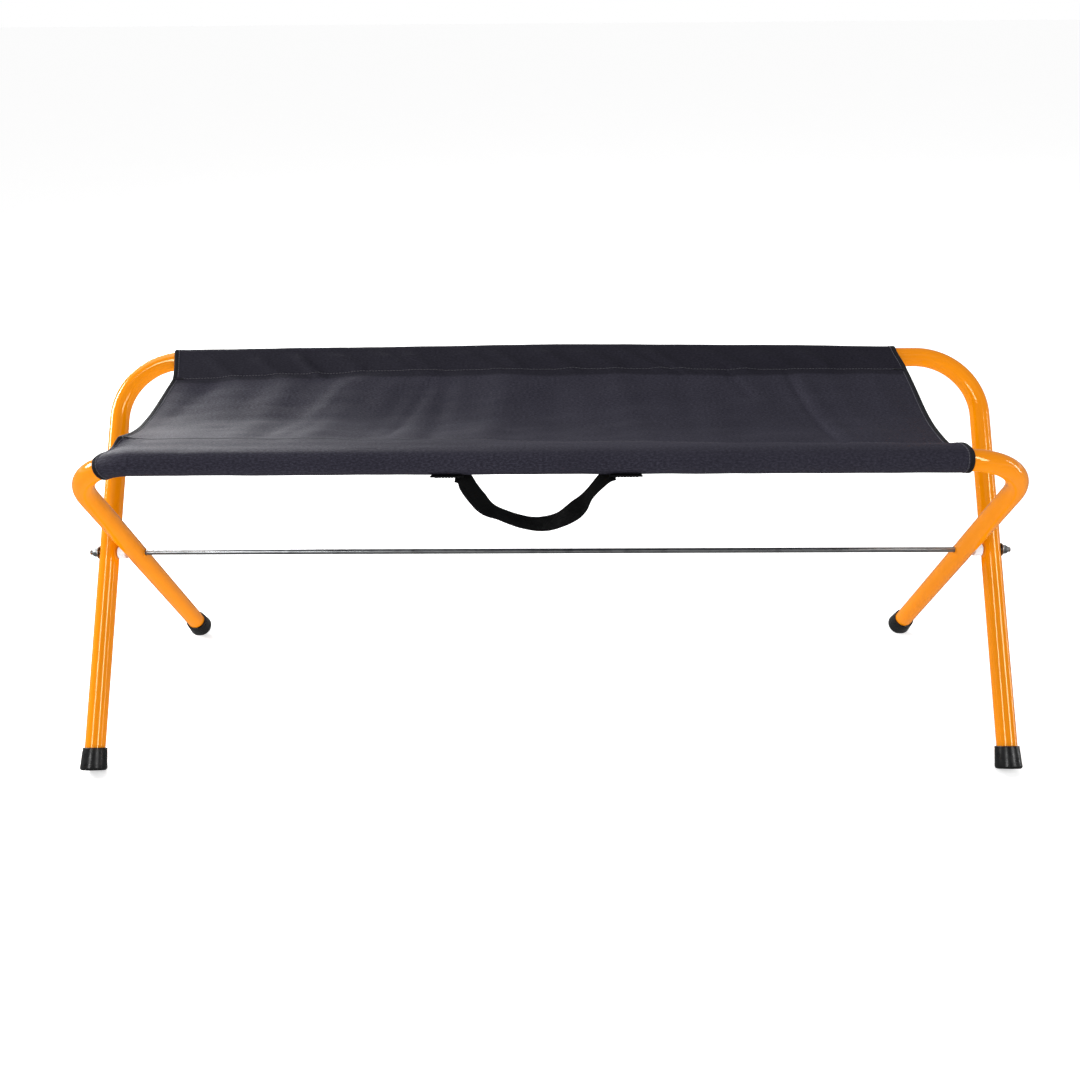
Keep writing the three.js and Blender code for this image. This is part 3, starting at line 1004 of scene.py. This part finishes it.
# ---- Carry handle ----
STRAP_W = 25 * MM
STRAP_T = 1.7 * MM
CUP_R = 24 * MM  # the sewn ends are bent round the sleeve to this radius
STRAP_ROUTE = [(-92, 356.2), (-87, 355.2), (-83, 350.5), (-76, 338), (-63, 321.5), (-49, 313.5),
               (-29, 305.5), (-9, 302.3), (11, 307), (31.5, 322), (42, 337), (52, 349.5),
               (59, 354.6), (66, 356.2)]  # (x, z) in millimetres
STRAP_ROLL = [(0.0, 8), (0.07, 28), (0.18, 26), (0.31, 3), (0.45, 5), (0.60, 12), (0.72, 26), (0.85, 6),
              (0.93, 10), (1.0, 0)]  # degrees, by share of the route


def strap_section():
    """A flat band with rounded selvedges, from one side round to the other."""
    edge = STRAP_T / 2
    half = STRAP_W / 2 - edge
    side = [(half + edge * math.sin(a), edge * math.cos(a)) for a in np.linspace(0, math.pi, 7)]
    shares = np.linspace(1, -1, 12)[1:-1]
    flat = [(half * f, -edge) for f in shares]
    other = [(-a, -b) for a, b in side]
    top = [(-half * f, edge) for f in shares]
    return side + flat + other + top


def strap_mesh(name, line, widths, ups, material):
    """A strap whose band lies along the width directions, round a centre line."""
    section = strap_section()
    corners = []
    for i, (p, w, u) in enumerate(zip(line, widths, ups)):
        uneven = 1 + 0.012 * noise.noise(Vector((i * 0.37, 0, 0)))
        corners += [p + w * a * uneven + u * b for a, b in section]
    strap = mesh_object(name, corners, tube_faces(len(line), len(section)), material)
    at = lengths_along(np.array(line))
    add_cloth_uv(strap.data, [(a, w) for a in at for w, _ in section])
    return strap


def add_handle(looks):
    route = catmull([(x * MM, z * MM) for x, z in STRAP_ROUTE], 8)
    route = resample(route, 110)
    heads = np.gradient(route, axis=0)
    line, widths, ups = [], [], []
    for i, ((x, z), (dx, dz)) in enumerate(zip(route, heads)):
        ahead = Vector((dx, 0, dz)).normalized()
        roll = math.radians(along(i / (len(route) - 1), STRAP_ROLL))
        normal = ahead.cross(Y_AXIS)
        width = Y_AXIS * math.cos(roll) + normal * math.sin(roll)
        line.append(Vector((x, FRONT_RAIL.y, z)))
        widths.append(width)
        ups.append(ahead.cross(width))
    strap = strap_mesh("carry_strap", line, widths, ups, looks["webbing"])
    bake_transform(strap)
    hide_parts("carry_handle")
    ends = [sewn_end(word, looks) for word in ("left", "right")]


def cup(y):
    """How much higher the strap's sewn end lies at y than at its middle."""
    return (y - FRONT_RAIL.y) ** 2 / (2 * CUP_R)


def sewn_end(word, looks):
    """The strap's flat end under the front sleeve, cupped round it, with a box of stitches."""
    low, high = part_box(f"strap_end_{word}")
    line, widths, ups = [], [], []
    for x in np.linspace(low.x, high.x, 14):
        line.append(Vector((x, FRONT_RAIL.y, high.z - STRAP_T / 2)))
        widths.append(Y_AXIS)
        ups.append(Z_AXIS)
    end = strap_mesh(f"strap_sewn_{word}", line, widths, ups, looks["webbing"])
    for vertex in end.data.vertices:
        vertex.co.z += cup(vertex.co.y)
    finish(end, "inner_frame", "black_webbing", f"strap_end_{word}")
    path = stitch_box(low, high)
    down = np.tile((0.0, 0.0, -1.0), (len(path), 1))
    stitches = thread_run(f"strap_stitches_{word}", path, down, 3 * MM, looks["black_thread"])
    finish(stitches, "inner_frame", "black_webbing")
    return [end, stitches, finish(frayed_end(word, low, high, looks), "inner_frame", "black_webbing")]


def stitch_box(low, high):
    """The path of a sewn box with one diagonal, just below the strap's end."""
    inset = 4 * MM
    y0, y1 = FRONT_RAIL.y - STRAP_W / 2 + inset, FRONT_RAIL.y + STRAP_W / 2 - inset
    x0, x1 = low.x + inset, high.x - inset
    corners = [(x0, y0), (x1, y0), (x1, y1), (x0, y1), (x0, y0), (x1, y1)]
    path = []
    for (xa, ya), (xb, yb) in zip(corners, corners[1:]):
        for t in np.linspace(0, 1, 12)[:-1]:
            x, y = xa + (xb - xa) * t, ya + (yb - ya) * t
            path.append((x, y, high.z - STRAP_T + cup(y) - 0.1 * MM))
    return np.array(path)


def frayed_end(word, low, high, looks):
    """Loose yarn ends along the cut edge of the strap."""
    out = -1 if word == "left" else 1
    x_cut = low.x if out < 0 else high.x
    yarns, yarn_r, sides = 15, 0.28 * MM, 4
    corners, faces = [], []
    for k in range(yarns):
        y = FRONT_RAIL.y + (k / (yarns - 1) - 0.5) * (STRAP_W - 2 * MM)
        z = high.z - STRAP_T / 2 + cup(y)
        reach = random.uniform(1.0, 3.2) * MM
        bend = random.uniform(-1.2, 0.4) * MM
        sway = random.uniform(-1, 1) * MM
        points = [(x_cut + out * (reach * t - 1.0 * MM), y + sway * t, z + bend * t * t)
                  for t in (0, 0.4, 0.7, 1)]
        first = len(corners)
        for p, size in zip(points, (1, 1, 0.8, 0.4)):
            for a in range(sides):
                angle = 2 * math.pi * a / sides
                corners.append((p[0], p[1] + yarn_r * size * math.cos(angle),
                                p[2] + yarn_r * size * math.sin(angle)))
        faces += tube_faces(len(points), sides, first)
    return mesh_object(f"strap_fray_{word}", corners, faces, looks["webbing"])


OUTER = Frame(OUTER_HALF, REAR_RAIL, 1)
INNER = Frame(INNER_HALF, FRONT_RAIL, -1)
FOLDS = rear_streaks() + broad_waves() + single_folds()
LOOKS = {
    "orange": orange_coat(),
    "rubber": black_rubber(),
    "zinc": zinc_steel(),
    "nylon": white_nylon(),
    "fabric": charcoal_fabric(),
    "binding": dark_binding(),
    "webbing": black_webbing(),
    "thread": thread("seam_thread", (0.035, 0.034, 0.042, 1), (0.075, 0.073, 0.088, 1)),
    "black_thread": thread("black_thread", (0.003, 0.003, 0.004, 1), (0.010, 0.010, 0.012, 1)),
}

add_camera()
add_world()
add_lights()
add_floor()
add_frames(LOOKS)
add_pivot(LOOKS)
add_seat(LOOKS)
add_handle(LOOKS)
